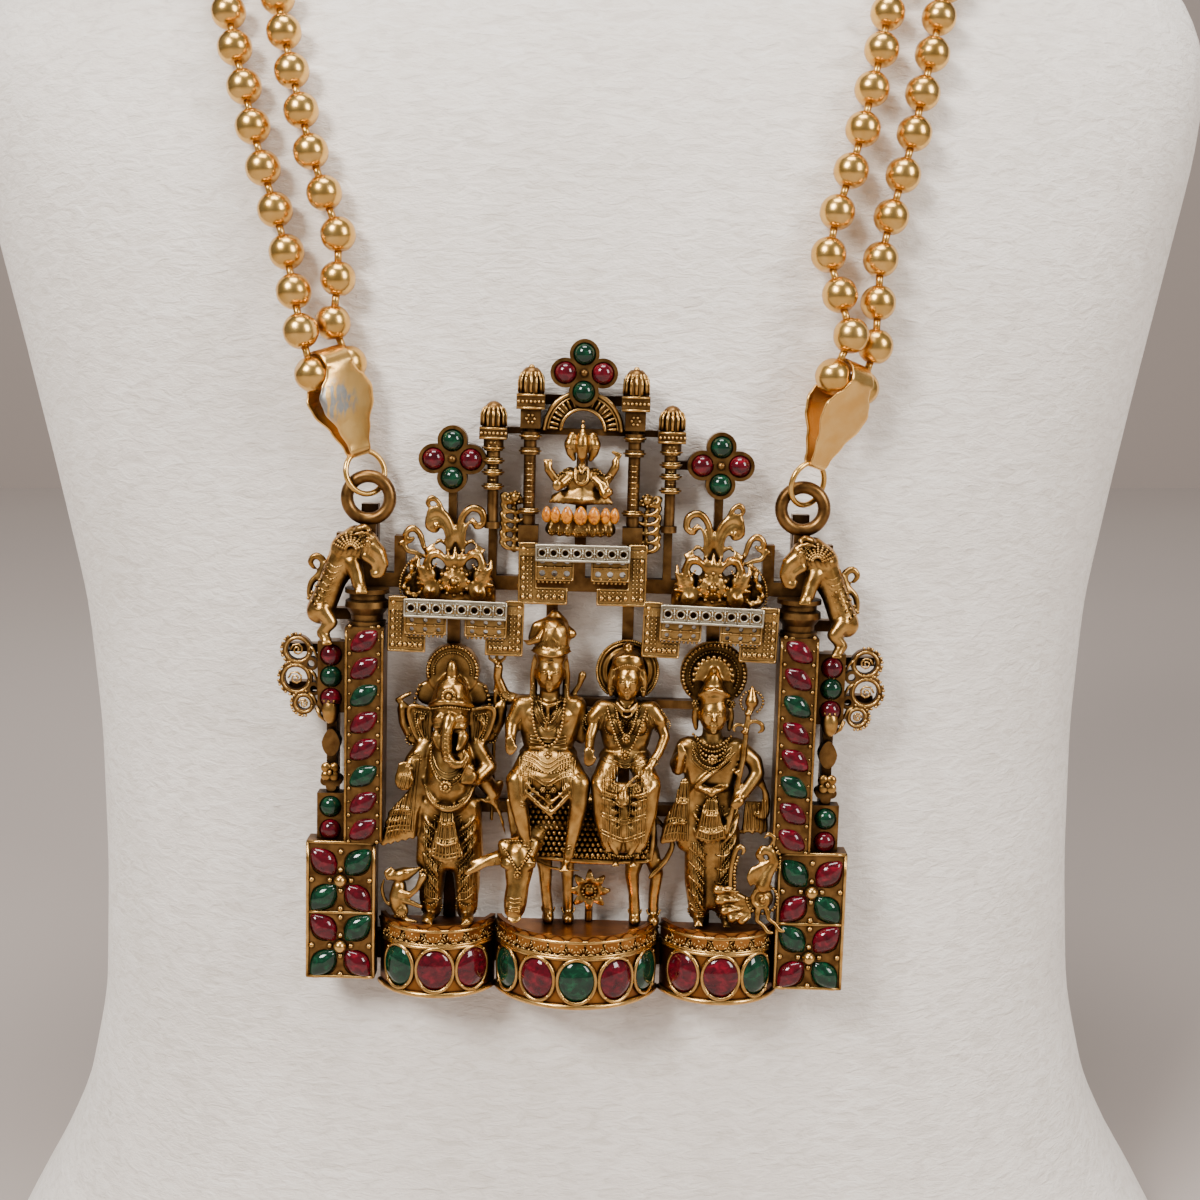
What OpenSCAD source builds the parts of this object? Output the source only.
// Temple necklace on a plain neck bust
// A cast pendant of stone columns, balconies and standing and seated figures
// hangs by two bails from a double run of ball chain on each side.
// The pendant is drawn flat: x across, y up, z towards the viewer, and then hung.

/* [Neck bust] */
// Height of the bust
bust_h = 290; // [270:1:320]
// Width of the bust across its foot and shoulders
bust_w = 204; // [190:1:230]
// Depth of the bust from chest to back
bust_d = 100; // [90:1:120]
// Lean of the chest front from upright, in degrees
chest_lean = 4; // [2:0.5:6]

/* [Chain] */
// Diameter of a chain ball
bead_d = 5; // [4.4:0.1:5.2]
// Distance from one ball to the next
bead_pitch = 6.05; // [6:0.05:6.5]
// Bore through a ball
bead_bore = 2; // [1.9:0.05:2.2]
// Diameter of the link wire
link_d = 0.8; // [0.6:0.05:0.9]
// Space between the balls and the bust
chain_clear = 0.25; // [0.15:0.05:1]

/* [Bails and rings] */
// Width of a bail's leaf
bail_w = 8.6; // [7:0.1:10]
// Height of a bail
bail_h = 15; // [13:0.1:18]
// Thickness of the bail's sheet
bail_sheet = 0.45; // [0.3:0.05:0.7]
// Turn of the bails and jump rings towards the left, in degrees
bail_turn = 38; // [30:1:45]
// Mean diameter of a jump ring
ring_d = 6.1; // [5.8:0.1:6.6]
// Wire of a jump ring
ring_wire = 0.8; // [0.6:0.05:0.9]
// Mean diameter of a hanging loop
loop_d = 6; // [5.6:0.1:6.6]
// Wire of a hanging loop
loop_wire = 1.8; // [1.4:0.05:1.9]

/* [Pendant] */
// Height of the pendant's foot above the stand
pendant_z = 68; // [60:1:80]
// Turn of the hanging pendant, clockwise in degrees
pendant_roll = 1.5; // [0:0.5:3]
// Thickness of the back frame
frame_t = 2; // [1.5:0.1:2.5]
// Gap between pieces that seat on each other
seat_gap = 0.2; // [0.1:0.05:0.3]
// Height from the pendant's foot to its hanging loops
loop_y = 68.2; // [67.8:0.1:70]

/* [Stone columns] */
// Distance of each stone column from the middle
column_x = 30.3; // [30:0.1:31]
// Width of a stone column
column_w = 5.4; // [5:0.1:5.8]
// Depth of a stone column
column_t = 4.8; // [4:0.1:6]
// Height of the stone field of a column
column_h = 30.8; // [30:0.1:32]
// Stones in a column
column_stones = 8; // [6:1:8]
// Height of a column's capital
capital_h = 5.2; // [4.5:0.1:5.4]

/* [Base blocks and side columns] */
// Width of a base block
block_w = 9.8; // [9.6:0.1:10.2]
// Height of a base block
block_h = 20.2; // [20:0.1:20.6]
// Depth of a base block
block_t = 3.6; // [3:0.1:5]
// Width of a side column
side_w = 3.8; // [3.7:0.1:4]
// Depth of a side column
side_t = 2.4; // [2:0.1:3]

/* [Pedestals] */
// Radius of a side pedestal's front
pedestal_r = 8.6; // [8.4:0.1:8.8]
// Radius of the centre pedestal's front
centre_r = 11.8; // [11.6:0.1:12]
// Height of a pedestal
pedestal_h = 10; // [9.5:0.1:10.5]
// Height of the rim of roundels
rim_h = 2.3; // [2:0.1:2.6]

/* [Stones] */
// Radius of a round cabochon
stone_r = 1.5; // [1.3:0.05:1.6]
// Wall of gold around a stone
cup_wall = 0.45; // [0.3:0.05:0.6]
// Space between a stone and its cup
stone_gap = 0.12; // [0.1:0.01:0.2]

/* [Shrine and balconies] */
// Distance of a shrine pillar from the shrine's middle
pillar_x = 7.25; // [7:0.05:7.6]
// Distance of an outer pillar from the shrine's middle
outer_x = 12.35; // [12:0.05:12.6]
// Height of a shrine pillar
pillar_h = 24.2; // [23:0.1:25]
// Height of an outer pillar
outer_h = 17.8; // [17:0.1:18.5]
// Thickness of a balcony's plates
balcony_t = 1; // [0.8:0.1:1.2]

/* [Figures] */
// Height of the elephant-headed figure
elephant_h = 40; // [38:0.5:41]
// Height of the seated figures
seated_h = 34.5; // [33:0.5:35.5]
// Height of the standing figure
standing_h = 41.5; // [39:0.5:42]
// Height of the lotus figure
lotus_h = 16.4; // [15.5:0.1:16.6]
// Height of the bull's back
bull_h = 19.2; // [18.5:0.1:19.6]

/* [Hidden] */
// Middle of the shrine, which stands a little left of the pendant's middle
shrine_x = -0.65;
// Turning point of the hanging pendant, near its middle
roll_y = 60;
// Face on which the front pieces seat
seat_z = frame_t + seat_gap;
// Foot of blocks, floor of pedestals and levels that stack on them
block_y = -0.8;
column_y = block_y + block_h + seat_gap;
capital_y = column_y + column_h;
lion_y = capital_y + capital_h + seat_gap;
floor_y = pedestal_h - 2.4;
stand_y = floor_y + seat_gap;
side_x = column_x + column_w / 2 + side_w / 2 + 0.35;
block_x = column_x + block_w / 2 - 1.65;
side_stone_z = seat_z + side_t;
// Sections of the bust: height, half width, then front and back measured from the chest
// plane, all as shares, and the exponent of the oval
BUST = [
    [0, 1, -0.03, 0.99, 2.8], [0.03, 0.96, -0.012, 0.98, 2.8], [0.065, 0.9, 0, 0.97, 2.8],
    [0.11, 0.84, 0, 0.96, 2.8], [0.17, 0.8, 0, 0.95, 2.8], [0.25, 0.785, 0, 0.95, 2.9],
    [0.33, 0.785, 0, 0.96, 2.9], [0.4, 0.8, 0, 0.97, 2.9], [0.47, 0.84, 0, 0.98, 2.9],
    [0.54, 0.885, 0.001, 1, 2.9], [0.59, 0.92, 0.004, 1.01, 2.8], [0.64, 0.96, 0.022, 1.02, 2.7],
    [0.685, 0.985, 0.06, 1.03, 2.6], [0.725, 0.96, 0.12, 1.05, 2.5], [0.76, 0.87, 0.185, 1.065, 2.4],
    [0.79, 0.73, 0.245, 1.08, 2.2], [0.815, 0.6, 0.285, 1.09, 2.1], [0.845, 0.5, 0.305, 1.09, 2],
    [0.89, 0.45, 0.305, 1.09, 2], [1, 0.45, 0.28, 1.09, 2]];
// Where the chest plane passes at the pendant's foot, so that the base lies round the origin
chest_y = (pendant_z * tan(chest_lean) - (BUST[0][2] + BUST[0][3]) * bust_d) / 2;
BUST_SIDES = 32;
// Chain route on each side, chosen by eye: angle around the bust from its side, in
// degrees, and height, from the clasp over the chest to the bail and back again
ROUTE_OUT = [[80, 241], [60, 241], [35, 240.5], [10, 239.5], [-10, 236], [-24, 227], [-32, 216],
    [-38, 204.5], [-41.8, 193], [-45, 181], [-47.8, 170]];
ROUTE_IN = [[-54, 171], [-50.6, 181.5], [-47, 193.5], [-43, 205.5], [-37, 218], [-27.5, 230.5],
    [-12, 242], [10, 247.5], [35, 249], [60, 249.5], [80, 249.5]];

GOLD = "goldenrod";
RUBY = "crimson";
EMERALD = "darkgreen";

// Moves a flat-drawn piece of the pendant to its place on the chest
module hang() {
    translate([0, chest_y, pendant_z])
        rotate([90 - chest_lean, 0, 0])
            translate([0, roll_y, seat_gap * 2])
                rotate([0, 0, -pendant_roll])
                    translate([0, -roll_y, 0])
                        children();
}

// The same move for a point
function hang_point(p) =
    let (c = cos(pendant_roll), s = sin(pendant_roll), y = p[1] - roll_y)
    let (u = c * p[0] + s * y, v = roll_y - s * p[0] + c * y, w = p[2] + seat_gap * 2)
    [u, chest_y + v * sin(chest_lean) - w * cos(chest_lean),
        pendant_z + v * cos(chest_lean) + w * sin(chest_lean)];

// Copies a piece drawn for the right side to either side: 1 is right, -1 is left
module on_side(side) {
    if (side > 0) children();
    else mirror([1, 0, 0]) children();
}

// Surface of the bust
function column_of(i) = [for (row = BUST) [row[0], row[i]]];
function half_w(z) = lookup(z / bust_h, column_of(1)) * bust_w / 2;
function front_y(z) = chest_y + (z - pendant_z) * tan(chest_lean)
    + lookup(z / bust_h, column_of(2)) * bust_d;
function back_y(z) = chest_y + lookup(z / bust_h, column_of(3)) * bust_d;
function skin(angle, z) =
    let (n = lookup(z / bust_h, column_of(4)), d = (back_y(z) - front_y(z)) / 2)
    let (r = 1 / pow(pow(abs(cos(angle)) / half_w(z), n) + pow(abs(sin(angle)) / d, n), 1 / n))
    [-r * cos(angle), (front_y(z) + back_y(z)) / 2 + r * sin(angle), z];
function unit(v) = v / norm(v);
function skin_out(angle, z) =
    unit(cross(skin(angle, z + 0.5) - skin(angle, z - 0.5),
        skin(angle + 0.5, z) - skin(angle - 0.5, z)));

// Closed skin through rings of points, each ring with the same number of points
module loft(rings) {
    n = len(rings[0]);
    last = len(rings) - 1;
    polyhedron(
        points = [for (ring = rings) for (p = ring) p],
        faces = concat(
            [[for (j = [0 : n - 1]) j]],
            [for (i = [0 : last - 1]) for (j = [0 : n - 1])
                [i * n + j, (i + 1) * n + j, (i + 1) * n + (j + 1) % n]],
            [for (i = [0 : last - 1]) for (j = [0 : n - 1])
                [i * n + j, (i + 1) * n + (j + 1) % n, i * n + (j + 1) % n]],
            [[for (j = [n - 1 : -1 : 0]) last * n + j]]));
}

module neck_bust() {
    sink = 4;
    angles = [for (j = [0 : BUST_SIDES - 1]) 360 * j / BUST_SIDES];
    foot = [for (a = angles) skin(a, 0) - [0, 0, sink]];
    color("linen")
        difference() {
            loft(concat([foot], [for (row = BUST) [for (a = angles) skin(a, row[0] * bust_h)]]));
            translate([-bust_w, -bust_w, -2 * sink]) cube([2 * bust_w, 2 * bust_w, 2 * sink]);
        }
}

// Points of a chain from its route, smoothed, a ball's radius off the bust
function smooth(p, i, t) =
    let (a = p[max(i - 1, 0)], b = p[i], c = p[i + 1], d = p[min(i + 2, len(p) - 1)])
    0.5 * (2 * b + (c - a) * t + (2 * a - 5 * b + 4 * c - d) * t * t
        + (3 * b - a - 3 * c + d) * t * t * t);
SMOOTH_STEPS = 6;
function smoothed(p) = concat(
    [for (i = [0 : len(p) - 2]) for (k = [0 : SMOOTH_STEPS - 1]) smooth(p, i, k / SMOOTH_STEPS)],
    [p[len(p) - 1]]);
function laid(route) = [for (p = smoothed(route))
    skin(p[0], p[1]) + skin_out(p[0], p[1]) * (bead_d / 2 + chain_clear)];

// The bail's own frame: x along its fold, y from its foot to its top, z out of its leaf
bail_tilt = 19;
bail_in = bead_d / 2 + 0.25;
bail_top = bail_h - bail_in - bail_sheet;
bail_low = 0.62;
bail_x = 31.83;
bail_y = 74.7;
function bail_z(side) = loop_z + side * 0.25;
function bail_point(side, p) =
    let (c = cos(bail_turn), s = sin(bail_turn), x = c * p[0] + s * p[2], z = c * p[2] - s * p[0])
    let (ct = cos(bail_tilt), st = -side * sin(bail_tilt))
    hang_point([side * bail_x + ct * x - st * p[1], bail_y + st * x + ct * p[1], bail_z(side) + z]);
module place_bail(side) {
    translate([side * bail_x, bail_y, bail_z(side)])
        rotate([0, 0, -side * bail_tilt])
            rotate([0, bail_turn, 0])
                children();
}

// Turn of the chain through a bail: two balls in its fold and one over each
strand_x = bead_d / 2 + 0.12;
rise = sqrt(bead_pitch * bead_pitch - pow(bead_pitch / 2 - strand_x, 2));
function chain_turn(side) =
    let (mid = bead_pitch / 2)
    [bail_point(side, [side * strand_x, bail_top + rise, 0]),
        bail_point(side, [side * mid, bail_top, 0]),
        bail_point(side, [-side * mid, bail_top, 0]),
        bail_point(side, [-side * strand_x, bail_top + rise, 0])];
function flip(side, p) = [side < 0 ? p[0] : -p[0], p[1], p[2]];
function strand(side, route) = [for (p = laid(route)) flip(side, p)];

// Points one pitch apart along a strand, walking from a ball that is already placed
function walk(path, i, from) =
    i >= len(path) ? [] :
    let (d = norm(path[i] - from))
    d < bead_pitch ? walk(path, i + 1, from) :
    let (a = i > 0 ? path[i - 1] : from, b = path[i])
    let (t = crossing(a, b, from, 0, 1, 12), p = a + (b - a) * t)
    concat([p], walk(path, i, p));
function crossing(a, b, from, lo, hi, n) =
    n == 0 ? (lo + hi) / 2 :
    let (m = (lo + hi) / 2)
    norm(a + (b - a) * m - from) < bead_pitch ? crossing(a, b, from, m, hi, n - 1)
        : crossing(a, b, from, lo, m, n - 1);
function reversed(p) = [for (i = [len(p) - 1 : -1 : 0]) p[i]];
function centres(side) =
    let (turn = chain_turn(side))
    let (out = walk(reversed(strand(side, ROUTE_OUT)), 0, turn[0]))
    let (inner = walk(strand(side, ROUTE_IN), 0, turn[3]))
    concat(reversed(out), turn, inner);

module along(a, b) {
    d = b - a;
    translate(a)
        rotate([0, acos(d[2] / norm(d)), atan2(d[1], d[0])])
            children();
}

// A ball is bored straight, or towards each neighbour where the chain turns sharply
sharp = 20;
function before(p, i) = i == 0 ? unit(p[1] - p[0]) : unit(p[i] - p[i - 1]);
function after(p, i) = i == len(p) - 1 ? before(p, i) : unit(p[i + 1] - p[i]);
module bead_string(side) {
    p = centres(side);
    color(GOLD)
        for (i = [0 : len(p) - 1])
            if (before(p, i) * after(p, i) > cos(sharp))
                along(p[i], p[i] + before(p, i) + after(p, i)) drilled_ball();
            else
                bent_ball(p[i], before(p, i), after(p, i));
}
module drilled_ball() {
    rotate_extrude($fn = 32)
        difference() {
            circle(r = bead_d / 2, $fn = 32);
            translate([-bead_d, -bead_d]) square([bead_d + bead_bore / 2, 2 * bead_d]);
        }
}
module bent_ball(o, back, ahead) {
    x = unit(back - ahead);
    z = unit(cross(back, ahead));
    y = cross(z, x);
    half = acos(-back * ahead) / 2;
    multmatrix([for (i = [0 : 2]) [x[i], y[i], z[i], o[i]]])
        difference() {
            sphere(r = bead_d / 2, $fn = 32);
            for (m = [-1, 1])
                rotate([0, 0, 180 + m * half])
                    rotate([0, 90, 0])
                        translate([0, 0, -bead_bore / 4])
                            cylinder(r = bead_bore / 2, h = bead_d, $fn = 16);
        }
}

// Wire through the balls, a ring of points at each ball
WIRE_SIDES = 5;
function wire_end(ball, d) =
    ball + d * (abs(ball[0]) - clasp_w / 2 - seat_gap) / abs(d[0]);
module chain_wire(side) {
    balls = centres(side);
    n = len(balls);
    p = concat([wire_end(balls[0], unit(balls[0] - balls[1]))], balls,
        [wire_end(balls[n - 1], unit(balls[n - 1] - balls[n - 2]))]);
    rings = [for (i = [0 : n + 1])
        let (back = unit(p[min(i + 1, n + 1)] - p[min(i, n)]))
        let (ahead = unit(p[max(i, 1)] - p[max(i - 1, 0)]))
        let (t = unit(back + ahead), k = 1 / sqrt((1 + back * ahead) / 2))
        let (bend = norm(cross(back, ahead)) > 0.001 ? unit(cross(back, ahead)) : [0, 0, 0])
        let (e1 = unit(cross(t, [0.31, 0.27, 0.91])), e2 = cross(t, e1))
        [for (j = [0 : WIRE_SIDES - 1])
            let (q = (e1 * cos(360 / WIRE_SIDES * j) + e2 * sin(360 / WIRE_SIDES * j)) * link_d / 2)
            let (m = cross(t, bend))
            p[i] + q + m * (m * q) * (k - 1)]];
    color(GOLD) loft(rings);
}

// Clasp behind the neck that takes the four ends of the chain
clasp_w = 10;
clasp_h = 16;
clasp_t = 4;
module clasp() {
    z = (ROUTE_OUT[0][1] + ROUTE_IN[len(ROUTE_IN) - 1][1]) / 2;
    y = skin(90, z)[1] + chain_clear;
    color(GOLD)
        translate([-clasp_w / 2, y, z - clasp_h / 2]) cube([clasp_w, clasp_t, clasp_h]);
}

// Bail: one leaf-shaped strip of sheet folded over the chain and meeting at its foot
function arc(c, r, from, to, n) =
    [for (i = [0 : n]) c + r * [cos(from + (to - from) * i / n), sin(from + (to - from) * i / n)]];
module bail_profile(grow) {
    polygon(concat(
        arc([0, bail_top], bail_in + grow, -8, 188, 14),
        arc([0, 0], bail_low + grow, 188, 352, 8)));
}
LEAF_EDGE = [[0, 0.17], [0.12, 0.2], [0.3, 0.3], [0.5, 0.47], [0.62, 0.5], [0.72, 0.42],
    [0.8, 0.26], [0.86, 0.225], [1.12, 0.225]];
module bail(side) {
    color(GOLD)
        hang()
            place_bail(side)
                intersection() {
                    rotate([0, -90, 0])
                        translate([0, 0, -bail_w])
                            linear_extrude(2 * bail_w)
                                difference() {
                                    bail_profile(bail_sheet);
                                    bail_profile(0);
                                }
                    translate([0, 0, -bail_w])
                        linear_extrude(2 * bail_w)
                            polygon(concat(
                                [for (e = LEAF_EDGE) [e[1] * bail_w, e[0] * bail_h - 1.2]],
                                [for (i = [len(LEAF_EDGE) - 1 : -1 : 0])
                                    [-LEAF_EDGE[i][1] * bail_w, LEAF_EDGE[i][0] * bail_h - 1.2]]));
                }
}

module torus(d, wire) {
    rotate_extrude($fn = 48) translate([d / 2, 0]) circle(r = wire / 2, $fn = 16);
}

// Jump ring: hangs in the bail's foot and passes through the pendant's loop
loop_z = 3.5;
module jump_ring(side) {
    color(GOLD)
        hang()
            place_bail(side)
                translate([0, -bail_low + ring_wire / 2 - ring_d / 2 + 0.1, 0])
                    torus(ring_d, ring_wire);
}

// Back frame: bars behind the pieces, from x, y to x, y with a width
BARS = [[-30.3, 0, -30.3, 66, 2.4], [30.3, 0, 30.3, 66, 2.4], [-35.25, 4, -35.25, 47, 1.4],
    [35.25, 4, 35.25, 47, 1.4], [-36, 3, 36, 3, 4], [-34, 15, 34, 15, 0], [-30.3, 56.5, 30.3, 56.5, 2],
    [-18.3, 3, -18.3, 57, 1.8], [18.5, 3, 18.5, 57, 1.8], [-4.4, 22, -4.4, 57, 1.6],
    [6.4, 22, 6.4, 57, 1.6], [-18.3, 24, 18.5, 24, 1.6], [-18.3, 39.6, 18.5, 39.6, 1.2],
    [-35.25, 41, -41, 41, 1.2], [35.25, 41, 41, 41, 1.2], [-35.25, 46.5, -41, 46.5, 1.2],
    [35.25, 46.5, 41, 46.5, 1.2], [-26, 56.5, -26, 62, 1.6], [26, 56.5, 26, 62, 1.6],
    [-18, 56.5, -18, 64, 2], [18, 56.5, 18, 64, 2], [-18.7, 56, -18.7, 73.7, 1.2],
    [18.7, 56, 18.7, 73.7, 1.2], [-13, 56.5, -13, 79, 1.2], [11.7, 56.5, 11.7, 79, 1.2],
    [-7.9, 56.5, -7.9, 84, 1.4], [6.6, 56.5, 6.6, 84, 1.4], [-0.65, 56.5, -0.65, 74, 1.6],
    [-19, 73.7, -13, 73.7, 1.2], [11.7, 73.7, 19, 73.7, 1.2], [-13, 78, 11.7, 78, 0.9],
    [-7.9, 82.4, 6.6, 82.4, 1.4], [-0.65, 82, -0.65, 86.2, 1.2], [-30.3, 62, -34, 62, 2],
    [30.3, 62, 34, 62, 2], [-36, 51.5, -30.3, 51.5, 1.6], [36, 51.5, 30.3, 51.5, 1.6]];
module bar(b) {
    d = [b[2] - b[0], b[3] - b[1]];
    translate([b[0], b[1], 0])
        rotate([0, 0, atan2(d[1], d[0])])
            translate([-b[4] / 2, -b[4] / 2, 0])
                cube([norm(d) + b[4], b[4], frame_t]);
}
module back_frame() {
    color("darkgoldenrod")
        hang() {
            for (b = BARS) if (b[4] > 0) bar(b);
            for (x = [-column_x, column_x]) {
                translate([x, loop_y, loop_z]) torus(loop_d, loop_wire);
                translate([x - 1.1, loop_y - loop_d / 2 - 2.4, 0]) cube([2.2, 2.2, loop_z + 0.5]);
            }
        }
}

// Outline shared by a cell and its stone: an oval whose ends are drawn to a point by pull
function cell(l, w, pull, grow) = [for (i = [0 : 23])
    [(l + grow) * cos(15 * i),
        (w + grow) * sin(15 * i) * (1 - pull * abs(cos(15 * i))) * (1 - 0.12 * cos(15 * i))]];
// Round top of a cabochon, of radius r and height h
module dome(r, h) {
    ball = (r * r + h * h) / (2 * h);
    intersection() {
        translate([0, 0, h - ball]) sphere(r = ball, $fn = 48);
        translate([0, 0, -0.01]) cylinder(r = r + 1, h = h + 1, $fn = 24);
    }
}

// Stone columns
pocket = 0.9;
stone_pitch = column_h / column_stones;
LEAF_L = 2.3;
LEAF_W = 1.45;
LEAF_PULL = 0.35;
leaf_turn = 37;
function is_emerald(i) = i % 3 == 2;
module at_column_stone(i) {
    translate([column_x, column_y + column_h - (i + 0.5) * stone_pitch, seat_z + column_t])
        rotate([0, 0, 180 - leaf_turn])
            children();
}
module stone_column(side) {
    color(GOLD)
        hang()
            on_side(side) {
                difference() {
                    translate([column_x - column_w / 2, column_y, seat_z])
                        cube([column_w, column_h, column_t]);
                    for (i = [0 : column_stones - 1])
                        at_column_stone(i)
                            translate([0, 0, -pocket])
                                linear_extrude(2 * pocket)
                                    polygon(cell(LEAF_L, LEAF_W, LEAF_PULL, 0));
                }
                capital();
            }
}
// Capital: a banded pot with petals, flat at its back
CAPITAL = [[0, 0.86], [0.12, 0.86], [0.14, 0.72], [0.3, 0.74], [0.5, 1], [0.66, 0.98], [0.72, 0.8],
    [0.86, 0.8], [0.88, 1], [1, 1]];
module capital() {
    r = column_w / 2 + 0.4;
    translate([column_x, capital_y - 0.01, seat_z])
        intersection() {
            translate([0, 0, column_t * 0.4])
                rotate([-90, 0, 0])
                    rotate_extrude($fn = 32)
                        polygon(concat([[0, 0]],
                            [for (row = CAPITAL) [row[1] * r, row[0] * capital_h]],
                            [[0, capital_h]]));
            translate([-2 * r, -1, 0]) cube([4 * r, 2 * capital_h, 4 * r]);
        }
}
module column_stone(green) {
    for (i = [0 : column_stones - 1])
        if (is_emerald(i) == green)
            at_column_stone(i) {
                translate([0, 0, stone_gap - pocket])
                    linear_extrude(pocket)
                        polygon(cell(LEAF_L, LEAF_W, LEAF_PULL, -stone_gap));
                translate([0, 0, stone_gap - 0.01]) dome(LEAF_W - stone_gap - 0.12, 0.75);
            }
}
module both() {
    children();
    mirror([1, 0, 0]) children();
}

// Side columns: a spine with two frames of round stones, a bud and a small flower
cup_r = stone_r + stone_gap + cup_wall;
upper_y = [45.95, 42.9, 39.75];
lower_y = [24.1, 20.7];
bud_y = 33.4;
small_flower_y = 27.7;
module cups(ys) {
    h = abs(ys[0] - ys[len(ys) - 1]) + 2 * cup_r - 0.2;
    difference() {
        translate([side_x - side_w / 2, ys[len(ys) - 1] - cup_r + 0.1, seat_z])
            cube([side_w, h, side_t]);
        for (y = ys)
            translate([side_x, y, seat_z + side_t - pocket])
                cylinder(r = stone_r + stone_gap * 0.8, h = 2 * pocket, $fn = 32);
    }
}
module side_column(side) {
    color(GOLD)
        hang()
            on_side(side) {
                cups(upper_y);
                cups(lower_y);
                translate([side_x - 0.7, lower_y[1], seat_z])
                    cube([1.4, upper_y[2] - lower_y[1], side_t * 0.6]);
                translate([side_x, bud_y, seat_z])
                    linear_extrude(side_t)
                        rotate(90) polygon(cell(2, 1.3, 0.2, 0));
                for (a = [0 : 90 : 270])
                    translate([side_x + 0.8 * cos(a), small_flower_y + 0.8 * sin(a), seat_z])
                        cylinder(r = 0.75, h = side_t * 0.8, $fn = 20);
            }
}
module side_stone(y) {
    translate([side_x, y, side_stone_z - pocket + stone_gap]) {
        cylinder(r = stone_r - stone_gap * 0.2, h = pocket, $fn = 32);
        translate([0, 0, pocket - 0.01]) dome(stone_r - stone_gap * 0.3, 0.8);
    }
}

// Base blocks: two flowers of four petals, each round a gold ball
flower_y = [13.7, 4];
petal_x = 2.45;
petal_y = 2.65;
PETAL_L = 2.15;
PETAL_W = 1.95;
module at_petals(fx, fy, z) {
    for (sx = [-1, 1]) for (sy = [-1, 1])
        translate([fx + sx * petal_x, fy + sy * petal_y, z])
            rotate([0, 0, atan2(sy * petal_y, sx * petal_x)])
                children();
}
module base_block(side) {
    color(GOLD)
        hang()
            on_side(side) {
                difference() {
                    translate([block_x - block_w / 2, block_y, seat_z])
                        cube([block_w, block_h, block_t]);
                    for (fy = flower_y)
                        at_petals(block_x, fy, seat_z + block_t - pocket)
                            linear_extrude(2 * pocket)
                                polygon(cell(PETAL_L, PETAL_W, 0.12, 0));
                }
                for (fy = flower_y)
                    translate([block_x, fy, seat_z + block_t]) sphere(r = 0.7, $fn = 24);
            }
}
// Petals alternate round each flower, and the two blocks mirror each other
module block_stone(green) {
    for (side = [-1, 1]) for (k = [0, 1]) for (sx = [-1, 1]) for (sy = [-1, 1])
        if ((side * sx * sy < 0) == green)
            translate([side * block_x + sx * petal_x, flower_y[k] + sy * petal_y,
                seat_z + block_t - pocket + stone_gap])
                rotate([0, 0, atan2(sy * petal_y, sx * petal_x)]) {
                    linear_extrude(pocket) polygon(cell(PETAL_L, PETAL_W, 0.12, -stone_gap));
                    translate([0, 0, pocket - 0.01]) dome(PETAL_W * 0.8, 0.8);
                }
}

// Pedestals: half drums with a rim of roundels over a band of oval stones
ped_x = 20.3;
ped_centre = [-0.6, 0.3];
ped_stone_y = 1.7;
OVAL_L = 2.65;
OVAL_W = 2.2;
SIDE_ANGLES = [-37, 1, 38];
CENTRE_ANGLES = [-56, -27, 1, 29, 57];
roundels = 9;
module drum(r) {
    difference() {
        translate([0, pedestal_h - 11.8, 0])
            rotate([-90, 0, 0]) cylinder(r = r, h = pedestal_h, $fn = 64);
        translate([-2 * r, -pedestal_h, -2 * r + seat_z])
            cube([4 * r, 3 * pedestal_h, 2 * r]);
        translate([0, floor_y - 0.01, 0])
            rotate([-90, 0, 0]) cylinder(r = r - 0.7, h = pedestal_h, $fn = 64);
        children();
    }
}
module rim(r, n, spread) {
    for (i = [0 : n - 1])
        rotate([0, (i / (n - 1) - 0.5) * 2 * spread, 0])
            translate([0, floor_y - rim_h / 2 + 0.5, r - 0.2])
                cylinder(r = rim_h / 2, h = 0.5, $fn = 20);
}
module at_drum(r, a) {
    rotate([0, a, 0]) translate([0, ped_stone_y, r]) rotate([0, 0, 90]) children();
}
module pedestal(x, r, angles, spread, n) {
    color(GOLD)
        hang()
            translate([x, 0, 0]) {
                drum(r)
                    for (a = angles)
                        at_drum(r, a)
                            translate([0, 0, -pocket])
                                linear_extrude(2 * pocket)
                                    polygon(cell(OVAL_L, OVAL_W, 0.05, 0));
                rim(r, n, spread);
            }
}
module pedestal_stone(x, r, angles, picks) {
    translate([x, 0, 0])
        for (i = picks)
            at_drum(r, angles[i]) {
                translate([0, 0, stone_gap - pocket])
                    linear_extrude(pocket) polygon(cell(OVAL_L, OVAL_W, 0.05, -stone_gap));
                translate([0, 0, stone_gap - 0.01]) dome(OVAL_W * 0.9, 0.75);
            }
}

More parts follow.
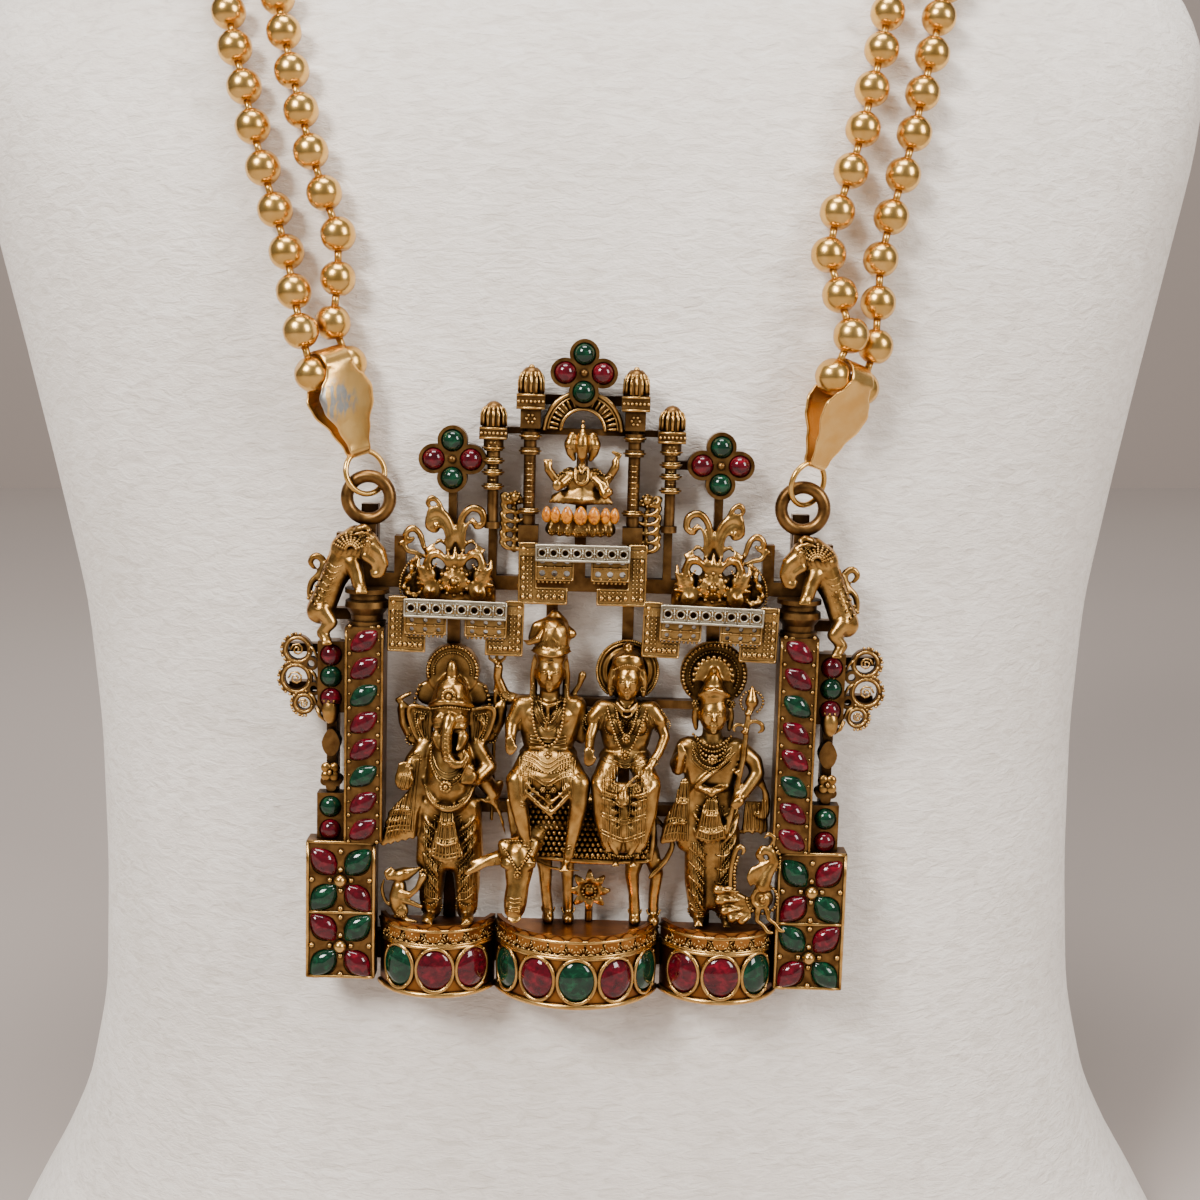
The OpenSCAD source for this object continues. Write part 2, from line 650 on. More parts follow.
// Balconies: L-shaped beaded legs, two pierced boxes and a pierced plate, one before another
module pierced(w, h, cols, rows) {
    difference() {
        cube([w, h, balcony_t]);
        for (i = [0 : cols - 1]) for (j = [0 : rows - 1])
            translate([w * (i + 0.5) / cols, h * (j + 0.5) / rows, -1])
                cylinder(r = min(w / cols, h / rows) * 0.24, h = 4, $fn = 16);
    }
}
module beads_row(from, to, n, r) {
    for (i = [0 : n - 1])
        translate(from + (to - from) * (n > 1 ? i / (n - 1) : 0)) sphere(r = r, $fn = 16);
}
leg_w = 2.3;
leg_z = 5.6;
module balcony(x, y, tilt, half, h, plate, plate_h, box_w, box_y, box_h, foot) {
    box_z = leg_z + balcony_t;
    plate_z = box_z + balcony_t;
    color(GOLD)
        hang()
            translate([x, y, 0])
                rotate([0, 0, tilt]) {
                    for (m = [0, 1]) mirror([m, 0, 0]) {
                        translate([half - leg_w, 0, leg_z]) cube([leg_w, h, balcony_t]);
                        translate([half - foot, 0, leg_z]) cube([foot, leg_w - 0.2, balcony_t]);
                        beads_row([half - 0.55, 0.8, box_z], [half - 0.55, h - 0.8, box_z], 6, 0.35);
                        beads_row([half - foot + 0.6, 0.9, box_z], [half - 1.6, 0.9, box_z], 5, 0.35);
                        translate([plate - box_w, box_y, box_z - 0.3])
                            pierced(box_w, box_h, 3, 2);
                        translate([half - leg_w / 2, h * 0.7, seat_z])
                            cylinder(r = 0.6, h = leg_z - seat_z + 0.1, $fn = 16);
                        translate([plate - 1, h - plate_h / 2, leg_z])
                            cylinder(r = 0.6, h = plate_z - leg_z + 0.1, $fn = 16);
                        translate([plate - box_w, h - plate_h * 0.8, leg_z + 0.2])
                            cube([half - plate + box_w, plate_h * 0.5, balcony_t]);
                    }
                    translate([-plate, h - plate_h, plate_z]) pierced(2 * plate, plate_h, 8, 1);
                    translate([-plate + 0.8, h - plate_h + 0.3, box_z])
                        cube([2 * plate - 1.6, plate_h * 0.5, balcony_t + 0.1]);
                }
}

// Pillars: turned rings and shafts between square panels, as shares of the height
// Each row has a start, an end, a half width in millimetres and 1 for round or 0 for square
INNER = [[0, 0.1, 1.4, 0], [0.08, 0.2, 0.9, 1], [0.165, 0.19, 1.4, 1], [0.18, 0.52, 0.85, 1],
    [0.505, 0.545, 1.35, 1], [0.54, 0.6, 0.9, 1], [0.59, 0.635, 1.35, 1], [0.63, 0.66, 0.9, 1],
    [0.655, 0.77, 1.4, 0], [0.765, 0.85, 1.95, 0], [0.845, 0.95, 1.45, 1]];
OUTER = [[0, 0.05, 1.1, 1], [0.04, 0.32, 0.75, 1], [0.31, 0.35, 1.15, 1], [0.34, 0.43, 0.8, 1],
    [0.42, 0.46, 1.1, 1], [0.45, 0.52, 0.8, 1], [0.51, 0.55, 1.1, 1], [0.54, 0.64, 0.95, 1],
    [0.63, 0.71, 1.4, 1], [0.7, 0.79, 1.9, 0], [0.78, 0.92, 1.3, 1]];
module pillar(rows, h) {
    mid = 1.45;
    top = rows[len(rows) - 1];
    translate([0, 0, seat_z])
        intersection() {
            union() {
                for (row = rows)
                    translate([0, row[0] * h, mid])
                        if (row[3] == 1)
                            rotate([-90, 0, 0])
                                cylinder(r = row[2], h = (row[1] - row[0]) * h, $fn = 24);
                        else
                            translate([-row[2], 0, -mid])
                                cube([2 * row[2], (row[1] - row[0]) * h, mid + row[2] * 0.9]);
                for (a = [-90 : 36 : 90])
                    translate([top[2] * sin(a), top[0] * h, mid + top[2] * cos(a)])
                        rotate([-90, 0, 0]) cylinder(r = 0.36, h = (top[1] - top[0]) * h, $fn = 16);
                translate([0, top[1] * h, mid]) sphere(r = top[2], $fn = 24);
            }
            translate([-3, -1, 0]) cube([6, h + 1, 8]);
        }
}
pillar_y = 62.6;
outer_y = 64.4;
module shrine_pillars() {
    color(GOLD)
        hang()
            for (s = [-1, 1])
                translate([shrine_x + s * pillar_x, pillar_y, 0]) pillar(INNER, pillar_h);
}
module outer_pillars() {
    color(GOLD)
        hang()
            for (s = [-1, 1])
                translate([shrine_x + s * outer_x, outer_y, 0]) pillar(OUTER, outer_h);
}

// Arch: a fan of flutes in a plain rim
arch_y = 78.2;
arch_r = pillar_x - 1.4 - 0.3;
arch_in = 2.8;
arch_t = 1.6;
flutes = 15;
module shrine_arch() {
    color(GOLD)
        hang()
            translate([shrine_x, arch_y, seat_z])
                intersection() {
                    difference() {
                        union() {
                            cylinder(r = arch_r, h = arch_t * 0.6, $fn = 64);
                            difference() {
                                cylinder(r = arch_r, h = arch_t, $fn = 64);
                                translate([0, 0, -1]) cylinder(r = arch_r - 0.5, h = 4, $fn = 64);
                            }
                            cylinder(r = arch_in + 0.5, h = arch_t, $fn = 48);
                            for (i = [1 : flutes - 1])
                                rotate([0, 0, 180 * i / flutes])
                                    translate([0, -0.14, 0]) cube([arch_r - 0.3, 0.28, arch_t * 0.9]);
                        }
                        translate([0, 0, -1]) cylinder(r = arch_in, h = 5, $fn = 48);
                    }
                    translate([-10, 0, -1]) cube([20, 20, 5]);
                }
}

// Four-stone flowers
crown_ring = 2.6;
crown_t = 2.2;
module crown_flower(x, y) {
    color(GOLD)
        hang()
            translate([x, y, seat_z]) {
                difference() {
                    union() {
                        for (a = [0 : 90 : 270])
                            rotate([0, 0, a])
                                translate([crown_ring, 0, 0])
                                    cylinder(r = cup_r, h = crown_t, $fn = 32);
                        cylinder(r = 1.2, h = crown_t, $fn = 24);
                    }
                    for (a = [0 : 90 : 270])
                        rotate([0, 0, a])
                            translate([crown_ring, 0, crown_t - pocket])
                                cylinder(r = stone_r + stone_gap * 0.8, h = 2 * pocket, $fn = 32);
                }
                translate([0, 0, crown_t]) sphere(r = 0.6, $fn = 24);
            }
}
module crown_stone(x, y, angles) {
    for (a = angles)
        translate([x + crown_ring * cos(a), y + crown_ring * sin(a),
            seat_z + crown_t - pocket + stone_gap]) {
            cylinder(r = stone_r - stone_gap * 0.2, h = pocket, $fn = 32);
            translate([0, 0, pocket - 0.01]) dome(stone_r - stone_gap * 0.3, 0.8);
        }
}
CROWNS = [[shrine_x, 86.2], [-18.65, 73.9], [18.65, 73.9]];

// Filigree: pierced scrolls with a beaded edge at the pendant's outer sides
// Each row has x, y, outer radius and inner radius
LOOPS = [[40.2, 46.4, 2.1, 1.4], [40.4, 42.3, 2.3, 1.6], [39.3, 38.7, 1.6, 0.9],
    [38.3, 44.4, 1, 0.5], [37.9, 40.8, 1, 0.5]];
filigree_t = 1.2;
module filigree(side) {
    color(GOLD)
        hang()
            on_side(side)
                translate([0, 0, seat_z]) {
                    difference() {
                        for (p = LOOPS)
                            translate([p[0], p[1], 0]) cylinder(r = p[2], h = filigree_t, $fn = 32);
                        for (p = LOOPS)
                            translate([p[0], p[1], -1]) cylinder(r = p[3], h = 4, $fn = 32);
                    }
                    for (p = [LOOPS[0], LOOPS[1], LOOPS[2]])
                        for (a = [-75 : 30 : 75])
                            translate([p[0] + p[2] * cos(a), p[1] + p[2] * sin(a), 0])
                                cylinder(r = 0.32, h = filigree_t, $fn = 16);
                }
}

module under_flower() {
    color(GOLD)
        hang()
            translate([1.9, 12.3, seat_z]) {
                for (a = [0 : 45 : 315])
                    rotate([0, 0, a]) translate([1.7, 0, 0])
                        linear_extrude(1.2) polygon(cell(1.4, 0.55, 0.3, 0));
                cylinder(r = 1, h = 1.6, $fn = 24);
                translate([-0.6, -4.6, 0]) cube([1.2, 4, 1]);
            }
}

// Cast figures: tables in hundredths of the figure's height, each row across, up, out, radius
module knob(p, s, fn) {
    translate([p[0], p[1], p[2]] * s / 100) sphere(r = p[3] * s / 100, $fn = fn);
}
// A limb: round stretches from row to row
module limb(rows, s, fn = 6) {
    for (i = [0 : len(rows) - 2])
        hull() {
            knob(rows[i], s, fn);
            knob(rows[i + 1], s, fn);
        }
}
// A broad form: one hull round all rows
module mass_of(rows, s, fn = 6) {
    hull() for (p = rows) knob(p, s, fn);
}
halo_t = 2;
module halo(x, y, r, s) {
    translate([x, y, 0] * s / 100)
        translate([0, 0, seat_z]) cylinder(r = r * s / 100, h = halo_t, $fn = 20);
}
// Whatever of a cast piece would reach behind its seat is cut flat
module flat_back() {
    intersection() {
        children();
        translate([-60, -20, seat_z]) cube([120, 140, 20]);
    }
}

module figure_elephant() {
    s = elephant_h;
    color(GOLD)
        hang()
            flat_back()
                translate([-18.2, stand_y, 0]) {
                    halo(0, 91, 9.5, s);
                    limb([[0, 79, 12, 8.5], [0, 88, 12, 5], [0, 97, 12, 1.8]], s);
                    limb([[-6.5, 80, 16, 1.8], [0, 81, 19, 2], [6.5, 80, 16, 1.8]], s);
                    mass_of([[-6, 76, 11, 1.5], [-14, 77, 12, 0.9], [-12, 64, 11, 0.9]], s, 5);
                    mass_of([[6, 76, 11, 1.5], [14, 77, 12, 0.9], [12, 64, 11, 0.9]], s, 5);
                    limb([[0, 76, 18, 3.6], [0, 66, 20, 2.7], [1.5, 61.5, 20, 2.2], [6, 62, 20, 1.8],
                        [7.5, 65.5, 20, 1.5]], s);
                    mass_of([[0, 68, 11, 8], [0, 53, 12, 9.5], [0, 44, 11, 7]], s, 7);
                    limb([[-8, 66, 10, 3.4], [-14, 57, 12, 2.8], [-14, 53, 17, 3.4]], s);
                    limb([[8, 66, 10, 3.4], [13, 55, 14, 2.7], [7, 56, 19, 3.8]], s);
                    limb([[-8, 67, 9, 2.6], [-14, 66, 9, 2.2], [-17, 75, 9, 2]], s);
                    limb([[8, 66, 9, 2.6], [14, 62, 9, 2.4]], s);
                    mass_of([[-10, 60, 11, 1.8], [-14, 38, 12, 2.6], [-19, 26, 11, 2]], s);
                    mass_of([[-7, 43, 10, 4.5], [7, 43, 10, 4.5], [8, 20, 10, 4.5],
                        [-8, 20, 10, 4.5]], s);
                    limb([[-6, 22, 10, 5.2], [-6, 3, 10, 4]], s);
                    limb([[6, 22, 10, 5.2], [6, 3, 10, 4]], s);
                    mass_of([[0, 43, 14, 2], [-4, 22, 15, 1.6], [4, 22, 15, 1.6]], s, 5);
                    limb([[-6, 1.5, 12, 1.7], [-7, 1.5, 19, 1.6]], s, 5);
                    limb([[6, 1.5, 12, 1.7], [7, 1.5, 19, 1.6]], s, 5);
                }
}

seat_y = 17.7;
module figure_seated_left() {
    s = seated_h;
    color(GOLD)
        hang()
            flat_back()
                translate([-4.4, seat_y, 0]) {
                    mass_of([[-6, 90, 16, 3.4], [6, 90, 16, 3.4], [4, 97, 14, 3], [-4, 95, 14, 3]], s);
                    mass_of([[0, 86, 17, 6], [0, 77, 18, 4]], s, 7);
                    limb([[0, 76, 14, 4], [0, 66, 14, 4.5]], s);
                    mass_of([[-10, 64, 13, 4.4], [10, 64, 13, 4.4], [-6, 48, 14, 4.4],
                        [6, 48, 14, 4.4]], s, 5);
                    mass_of([[-8, 43, 14, 4.5], [8, 43, 14, 4.5], [0, 46, 17, 3]], s);
                    limb([[-11, 64, 13, 3.8], [-15.5, 53, 15, 3.2], [-14, 50, 23, 3.4]], s);
                    limb([[-12, 64, 10, 2.6], [-18, 66, 10, 2.2], [-22, 74, 10, 1.8]], s);
                    limb([[11, 64, 12, 3.8], [12.5, 54, 11, 3]], s);
                    limb([[-6, 42, 17, 5], [-11, 34.5, 25, 4.4], [-5.5, 12, 26, 2.6],
                        [-4.5, 6, 29, 2.2]], s);
                    limb([[6, 42, 17, 5], [12.5, 33, 25, 4.4], [9.5, 9, 26, 2.6],
                        [9, 3, 29, 2.2]], s);
                    mass_of([[-10, 41, 23, 1.6], [2.5, 27, 27, 1.4], [13, 39, 23, 1.6]], s, 5);
                    limb([[-22.5, 16, 9, 1.3], [-22, 80, 9, 1.1]], s, 5);
                    limb([[-26, 85, 9, 0.9], [-25, 81, 9, 1], [-19, 81, 9, 1], [-18, 85, 9, 0.9]], s, 5);
                    limb([[-5, 65, 17, 1], [-4, 54, 17.6, 1], [0, 50, 17.8, 1], [4, 54, 17.6, 1],
                        [5, 65, 17, 1]], s, 5);
                    limb([[-9, 45, 19, 1.5], [0, 43.5, 21, 1.8], [9, 45, 19, 1.5]], s, 5);
                }
}

module figure_seated_right() {
    s = seated_h;
    color(GOLD)
        hang()
            flat_back()
                translate([6.5, seat_y, 0]) {
                    halo(0, 79, 12.3, s);
                    mass_of([[0, 86, 15, 5], [0, 92, 14, 3.2]], s);
                    mass_of([[0, 82, 17, 5.6], [0, 74, 18, 3.8]], s, 7);
                    limb([[0, 74, 14, 3.6], [0, 64, 14, 4.4]], s);
                    mass_of([[-9, 63, 13, 4.2], [9, 63, 13, 4.2], [0, 48, 15, 6]], s, 5);
                    mass_of([[-7, 43, 14, 4.5], [7, 43, 14, 4.5], [0, 45, 17, 3]], s);
                    limb([[10, 63, 13, 3.8], [16, 53, 14, 2.9], [12, 46, 20, 2.4],
                        [8, 42, 24, 2.4]], s);
                    limb([[-9.8, 63, 14, 3.6], [-11.5, 53, 17, 2.8], [-13.5, 48, 25, 3]], s);
                    limb([[-6, 42, 17, 5], [-7.5, 33, 25, 4.4], [-5, 10, 26, 3.2]], s);
                    limb([[6, 42, 17, 5], [9, 33, 25, 4.6], [6.5, 10, 26, 3.4]], s);
                    mass_of([[-5, 30, 27, 2], [5, 30, 27, 2], [5, 9, 28, 2], [-5, 9, 28, 2]], s, 5);
                    limb([[-4, 8, 28, 1.8], [-4, 6.5, 31, 1.6]], s, 5);
                    limb([[4.5, 8, 28, 1.8], [4.5, 6.5, 31, 1.6]], s, 5);
                    limb([[0, 34, 28, 3], [5, 38, 26, 1.2]], s);
                    limb([[-5, 64, 17, 1], [0, 49, 20, 1.4], [5, 64, 17, 1]], s, 5);
                }
}

module figure_standing() {
    s = standing_h;
    color(GOLD)
        hang()
            flat_back()
                translate([18.7, stand_y, 0]) {
                    halo(0, 89, 10.8, s);
                    mass_of([[-5, 91, 10.5, 1.6], [-1, 96, 10.5, 1.6], [3.5, 91, 10.5, 1.6]], s);
                    limb([[-0.5, 82, 13, 4.8], [-0.8, 92, 13, 1.6]], s);
                    mass_of([[-0.5, 80, 14, 5], [-0.5, 75, 15, 3.4]], s, 7);
                    limb([[-0.5, 74, 11, 3.2], [-0.5, 66, 11, 3.8]], s);
                    mass_of([[-8, 64, 11, 3.6], [8, 64, 11, 3.6], [-5, 53, 11, 3.4],
                        [5, 53, 11, 3.4]], s, 5);
                    limb([[-9, 64, 11, 3.2], [-11.5, 56, 12, 2.6], [-10.7, 63.5, 17, 2.4]], s);
                    limb([[9, 64, 11, 3.2], [16.5, 58, 11, 2.6], [10, 49, 15, 2.4]], s);
                    limb([[11, 82, 14, 1.1], [10.2, 78, 14, 1.1], [5.7, 36, 15, 1.1]], s, 5);
                    mass_of([[11.2, 86.5, 14, 1], [9.2, 83, 14, 1.4], [13.2, 83, 14, 1.4],
                        [11, 80.5, 14, 1.2]], s, 5);
                    limb([[10, 74, 14, 1], [14, 75, 14, 1]], s, 5);
                    mass_of([[12.6, 55.5, 10, 2], [19, 47, 10, 2], [19, 39, 9, 1.6]], s);
                    mass_of([[-9.5, 54, 12, 1.8], [-8, 33, 13, 1.8], [-15, 33, 13, 1.8]], s);
                    mass_of([[-5, 52, 11, 3.6], [5, 52, 11, 3.6], [7, 30, 10, 4], [-7, 30, 10, 4]], s);
                    mass_of([[0, 49, 14, 2], [-3.5, 33, 16, 1.6], [4, 33, 16, 1.6]], s, 5);
                    limb([[-3, 32, 10, 4.6], [-1, 3, 9, 3.4]], s);
                    limb([[5, 32, 10, 4.6], [8, 3, 9, 3.4]], s);
                    limb([[-1, 1.5, 10, 1.5], [-2, 1.5, 15, 1.5]], s, 5);
                    limb([[8, 1.5, 10, 1.5], [9, 1.5, 13, 1.5]], s, 5);
                    limb([[-6, 52, 15, 1.2], [6, 52, 15, 1.2]], s, 5);
                    limb([[-6, 66, 14, 0.9], [0, 59, 15.5, 1.2], [6, 66, 14, 0.9]], s, 5);
                }
}

lotus_y = pillar_y + 0.7;
module figure_lotus() {
    s = lotus_h;
    color(GOLD)
        hang()
            flat_back()
                translate([shrine_x, lotus_y, 0]) {
                    mass_of([[-26, 5, 18, 5], [26, 5, 18, 5], [-26, 14, 20, 4], [26, 14, 20, 4],
                        [0, 5, 28, 5], [0, 14, 27, 4]], s);
                    mass_of([[-26, 32, 22, 4], [26, 32, 22, 4], [0, 32, 32, 5], [0, 40, 24, 7]], s);
                    limb([[0, 10, 20, 6], [0, 34, 20, 6]], s);
                    mass_of([[-10, 55, 24, 6], [10, 55, 24, 6], [0, 38, 24, 8]], s);
                    limb([[0, 58, 25, 5], [0, 78, 27, 5]], s);
                    limb([[-13, 67, 26, 2.5], [-14, 77, 27, 5.5], [-13, 88, 26, 3]], s);
                    limb([[13, 67, 26, 2.5], [14, 77, 27, 5.5], [13, 88, 26, 3]], s);
                    mass_of([[-11, 78, 24, 4], [11, 78, 24, 4]], s, 5);
                    limb([[0, 68, 30, 3], [0, 79, 33, 6], [0, 97, 28, 2.6]], s);
                    limb([[-11, 55, 22, 5], [-22, 48, 26, 4], [-29, 58, 30, 4.5]], s, 5);
                    limb([[11, 55, 22, 5], [22, 50, 26, 4], [28, 63, 30, 4.5]], s, 5);
                    limb([[-11, 52, 26, 4], [-20, 44, 34, 5]], s, 5);
                    limb([[11, 52, 26, 4], [22, 40, 34, 5]], s, 5);
                }
}
PETAL_X = [-4.3, -3.15, -1.7, 0, 1.7, 3.15, 4.3];
PETAL_R = [0.75, 0.85, 1.05, 1.25, 1.05, 0.85, 0.75];
module lotus_petals() {
    color("orange")
        hang()
            for (i = [0 : 6])
                translate([shrine_x + PETAL_X[i], lotus_y + 3.4, 6.3 - abs(PETAL_X[i]) * 0.2])
                    intersection() {
                        rotate([0, PETAL_X[i] * 10, 0]) {
                            cylinder(r = PETAL_R[i] * 0.62, h = 0.5, $fn = 20);
                            translate([0, 0, 0.5]) dome(PETAL_R[i] * 0.62, 0.4);
                        }
                        translate([-3, -3, -0.5]) cube([6, 6, 4]);
                    }
}

module bull() {
    s = bull_h;
    color(GOLD)
        hang()
            flat_back()
                translate([2, stand_y, 0]) {
                    mass_of([[-40, 92, 20, 7], [40, 92, 20, 7], [-42, 60, 20, 8], [42, 60, 20, 8],
                        [-38, 75, 26, 7], [38, 75, 26, 7]], s, 5);
                    mass_of([[-41, 94, 26, 4], [42, 94, 26, 4], [-40, 56, 29, 3.4], [43, 56, 29, 3.4]], s);
                    limb([[-38, 72, 20, 14], [-50, 58, 32, 10]], s);
                    mass_of([[-60, 58, 39, 6], [-50, 58, 39, 6], [-49, 28, 46, 5], [-45, 28, 46, 5]], s);
                    limb([[-56, 62, 38, 3], [-82, 52, 38, 2.2]], s, 5);
                    limb([[-54, 62, 38, 3], [-46, 66, 38, 2.2]], s, 5);
                    limb([[-36, 56, 20, 7], [-33, 30, 18, 5], [-31, 4, 18, 4.4]], s);
                    limb([[-18, 54, 16, 6], [-16, 4, 15, 4]], s);
                    limb([[34, 56, 20, 8], [31, 34, 18, 5], [34, 4, 18, 4.4]], s);
                    limb([[44, 56, 18, 6], [50, 32, 16, 4.4], [48, 4, 15, 4]], s);
                    limb([[50, 84, 18, 2.4], [57, 58, 18, 2.2], [46, 40, 20, 2.2]], s, 5);
                }
}

mouse_h = 8.4;
module mouse() {
    s = mouse_h;
    color(GOLD)
        hang()
            translate([-24.9, stand_y, 0]) {
                limb([[-4, 20, 60, 16], [-4, 42, 62, 17], [6, 80, 64, 13]], s, 7);
                limb([[6, 80, 64, 13], [26, 92, 66, 5]], s);
                limb([[-4, 82, 62, 7], [-24, 74, 62, 7]], s);
                limb([[2, 52, 70, 7], [28, 56, 74, 6], [40, 84, 74, 8]], s);
                limb([[-6, 20, 68, 10], [10, 8, 76, 7]], s);
                limb([[-10, 30, 60, 10], [-8, 30, 30, 8]], s);
            }
}

peacock_h = 14;
module peacock() {
    s = peacock_h;
    color(GOLD)
        hang()
            translate([26.2, stand_y, 0]) {
                limb([[2, 38, 50, 12], [6, 58, 50, 10], [10, 72, 50, 6], [2, 84, 50, 5],
                    [10, 92, 50, 5], [17, 82, 50, 5], [15, 74, 50, 4]], s);
                limb([[10, 92, 50, 4], [10, 100, 50, 3]], s, 5);
                limb([[0, 40, 46, 9], [-12, 58, 46, 6]], s);
                limb([[-8, 30, 46, 6], [-28, 28, 46, 4], [-30, 60, 46, 3], [-27, 84, 46, 3.4],
                    [-20, 90, 46, 3]], s, 5);
                limb([[-8, 30, 46, 6], [-44, 44, 46, 6]], s);
                limb([[-8, 28, 46, 6], [-40, 27, 46, 6]], s);
                limb([[-6, 26, 46, 6], [-27, 14, 46, 6]], s);
                limb([[0, 28, 50, 5], [-2, 17, 50, 3], [8, 3, 52, 3]], s, 5);
                limb([[6, 28, 50, 5], [10, 17, 50, 3], [20, 5, 52, 3]], s, 5);
                limb([[2, 38, 48, 7], [2, 38, 18, 6]], s);
            }
}

lion_h = 17;
module lion(side) {
    s = lion_h;
    color(GOLD)
        hang()
            on_side(side)
                flat_back()
                    translate([33, lion_y - 7.5, 0]) {
                        mass_of([[-14, 82, 30, 15], [2, 78, 28, 13]], s, 7);
                        limb([[-20, 84, 38, 9], [-29, 78, 40, 6], [-32, 66, 40, 4],
                            [-26, 60, 40, 3.4]], s);
                        limb([[0, 74, 26, 15], [14, 52, 26, 11], [22, 32, 26, 12]], s, 5);
                        limb([[-6, 68, 34, 8], [-12, 54, 38, 6.5]], s);
                        limb([[24, 28, 26, 12], [23, 8, 28, 6], [14, 4, 32, 5]], s);
                        limb([[16, 64, 18, 3], [24, 58, 18, 3], [24, 46, 18, 3], [31, 38, 18, 3]], s, 5);
                        limb([[-14, 92, 34, 3], [-2, 97, 28, 3]], s, 5);
                    }
}

scroll_h = 16;
module spiral(c, z, r, t, s) {
    limb([for (i = [0 : 4]) [c[0] + r * (1 - i * 0.16) * cos(c[2] + i * 75),
        c[1] + r * (1 - i * 0.16) * sin(c[2] + i * 75), z, t]], s, 5);
}
module scrollwork(side) {
    s = scroll_h;
    color(GOLD)
        hang()
            on_side(side)
                flat_back()
                    translate([18, 54.6, 0]) {
                        mass_of([[-32, 4, 16, 4], [42, 4, 16, 4], [34, 34, 16, 4], [-30, 30, 16, 4]], s, 4);
                        limb([[0, 4, 20, 6], [0, 50, 20, 5]], s, 5);
                        knob([0, 29, 28, 7], s, 5);
                        for (a = [18 : 72 : 306])
                            knob([8 * cos(a), 29 + 8 * sin(a), 24, 5], s, 5);
                        spiral([-31, 14, 90], 22, 7, 3.6, s);
                        spiral([31, 11, 90], 22, 7, 3.6, s);
                        mass_of([[-36, 22, 20, 5], [-34, 38, 20, 3], [-24, 24, 20, 5]], s, 5);
                        mass_of([[36, 19, 20, 5], [38, 36, 20, 3], [24, 22, 20, 5]], s, 5);
                        limb([[-12, 30, 20, 4], [-14, 44, 24, 4], [-22, 47, 26, 4.4],
                            [-24, 56, 26, 3.4]], s, 5);
                        limb([[12, 30, 20, 4], [14, 44, 24, 4], [22, 47, 26, 4.4],
                            [24, 56, 26, 3.4]], s, 5);
                        for (x = [-9, 0, 9])
                            limb([[0, 42, 20, 4], [x, 62 - abs(x) * 0.6, 21, 3]], s, 5);
                        limb([[2, 48, 20, 3.4], [1, 76, 22, 3], [-10, 93, 24, 3], [-21, 84, 24, 3]], s, 5);
                        limb([[34, 32, 18, 4], [38, 64, 22, 3], [52, 70, 24, 3], [57, 60, 24, 3]], s, 5);
                        for (y = [68, 80, 92])
                            limb([[2, 50, 19, 3], [14, y - 8, 21, 2.6], [27, y, 22, 3]], s, 5);
                        for (p = [[53, 36], [51, 24], [47, 13]])
                            limb([[p[0] - 18, p[1], 17, 4], [p[0], p[1], 20, 4]], s, 5);
                    }
}

neck_bust();
bead_string(-1);  // bead_string_left
bead_string(1);  // bead_string_right
chain_wire(-1);  // chain_wire_left
chain_wire(1);  // chain_wire_right
clasp();
bail(-1);  // bail_left
bail(1);  // bail_right
jump_ring(-1);  // jump_ring_left
jump_ring(1);  // jump_ring_right
back_frame();
stone_column(-1);  // stone_column_left
stone_column(1);  // stone_column_right
side_column(-1);  // side_column_left
side_column(1);  // side_column_right
base_block(-1);  // base_block_left
base_block(1);  // base_block_right
pedestal(-ped_x + 0.4, pedestal_r, SIDE_ANGLES, 60, 7);  // pedestal_left
pedestal(0.2, centre_r, CENTRE_ANGLES, 62, 11);  // pedestal_centre
pedestal(ped_x + 0.4, pedestal_r, SIDE_ANGLES, 60, 7);  // pedestal_right
balcony(-17.7, 47.1, -1, 9.3, 7.5, 7, 2.3, 5.6, 2.6, 2.5, 5);  // balcony_left
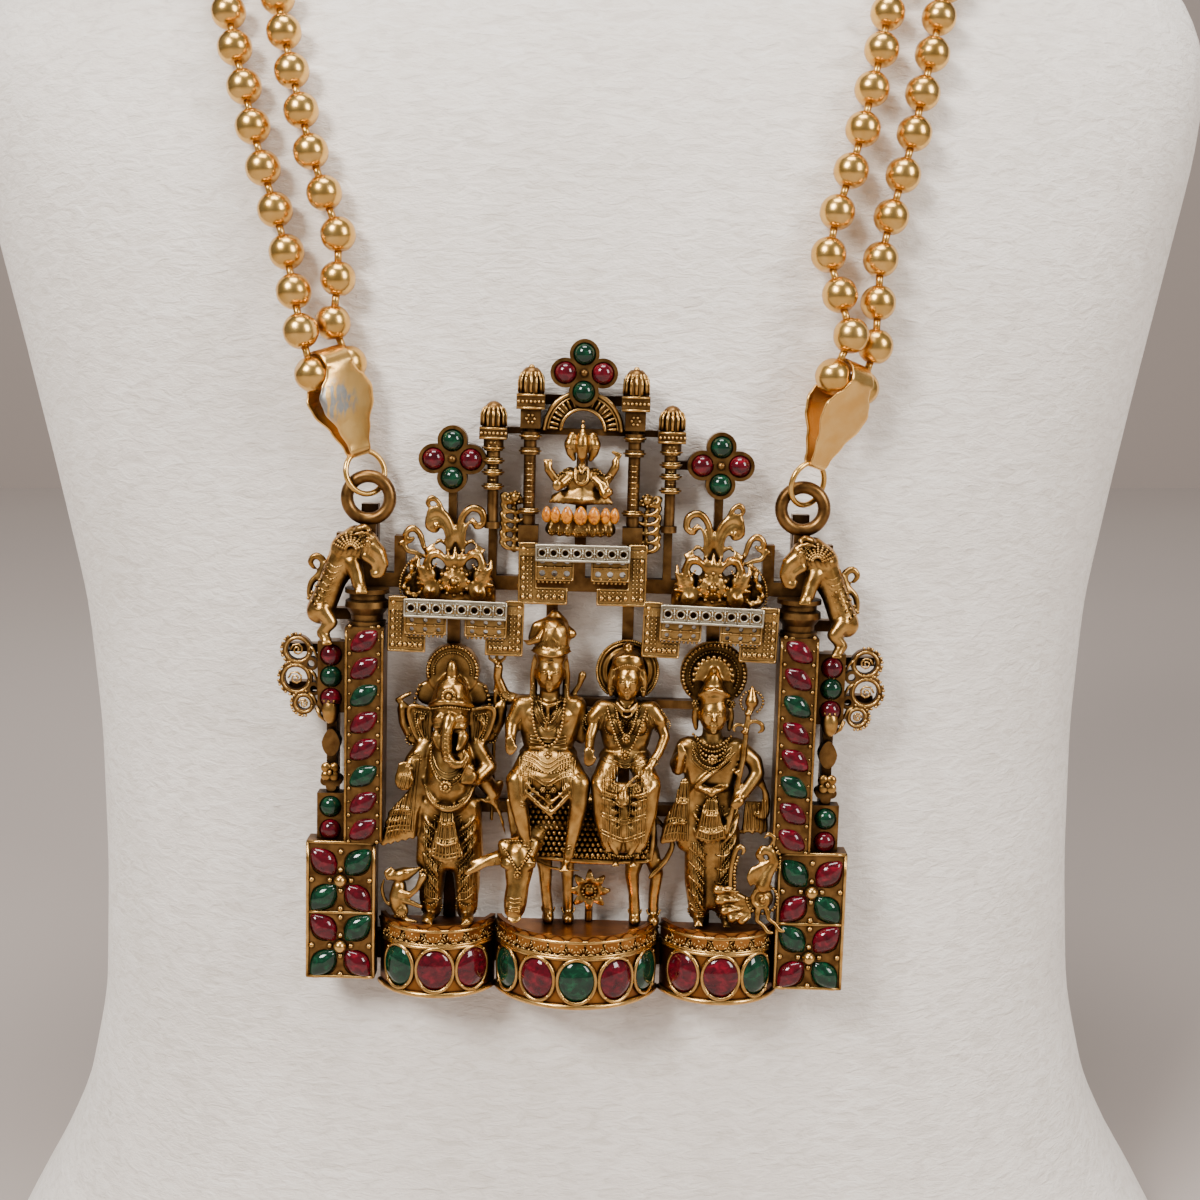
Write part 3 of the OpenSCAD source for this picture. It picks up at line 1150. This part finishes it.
balcony(-0.2, 54.4, 0, 8.75, 8.3, 6.4, 2.1, 5.1, 3.4, 3.5, 6.6);  // balcony_centre
balcony(17.7, 47.1, -1.5, 9.3, 7.5, 7, 2.3, 5.6, 2.6, 2.5, 5);  // balcony_right
shrine_pillars();
shrine_arch();
outer_pillars();
crown_flower(CROWNS[0][0], CROWNS[0][1]);  // crown_flower_top
crown_flower(CROWNS[1][0], CROWNS[1][1]);  // crown_flower_left
crown_flower(CROWNS[2][0], CROWNS[2][1]);  // crown_flower_right
scrollwork(-1);  // scrollwork_left
scrollwork(1);  // scrollwork_right
lion(-1);  // lion_left
lion(1);  // lion_right
filigree(-1);  // filigree_left
filigree(1);  // filigree_right
figure_lotus();
lotus_petals();
figure_elephant();
figure_seated_left();
figure_seated_right();
figure_standing();
bull();
mouse();
peacock();
under_flower();
color(RUBY) hang() both() column_stone(false);  // column_rubies
color(EMERALD) hang() both() column_stone(true);  // column_emeralds
color(RUBY) hang() both() for (y = [upper_y[0], upper_y[2], lower_y[1]]) side_stone(y);  // side_rubies
color(EMERALD) hang() both() for (y = [upper_y[1], lower_y[0]]) side_stone(y);  // side_emeralds
color(RUBY) hang() block_stone(false);  // block_rubies
color(EMERALD) hang() block_stone(true);  // block_emeralds
color(RUBY) hang() {  // pedestal_rubies
        pedestal_stone(-ped_x + 0.4, pedestal_r, SIDE_ANGLES, [1, 2]);
        pedestal_stone(0.2, centre_r, CENTRE_ANGLES, [1, 3]);
        pedestal_stone(ped_x + 0.4, pedestal_r, SIDE_ANGLES, [0, 1]);
    }
color(EMERALD) hang() {  // pedestal_emeralds
        pedestal_stone(-ped_x + 0.4, pedestal_r, SIDE_ANGLES, [0]);
        pedestal_stone(0.2, centre_r, CENTRE_ANGLES, [0, 2, 4]);
        pedestal_stone(ped_x + 0.4, pedestal_r, SIDE_ANGLES, [2]);
    }
color(RUBY) hang() for (c = CROWNS) crown_stone(c[0], c[1], [0, 180]);  // crown_rubies
color(EMERALD) hang() for (c = CROWNS) crown_stone(c[0], c[1], [90, 270]);  // crown_emeralds
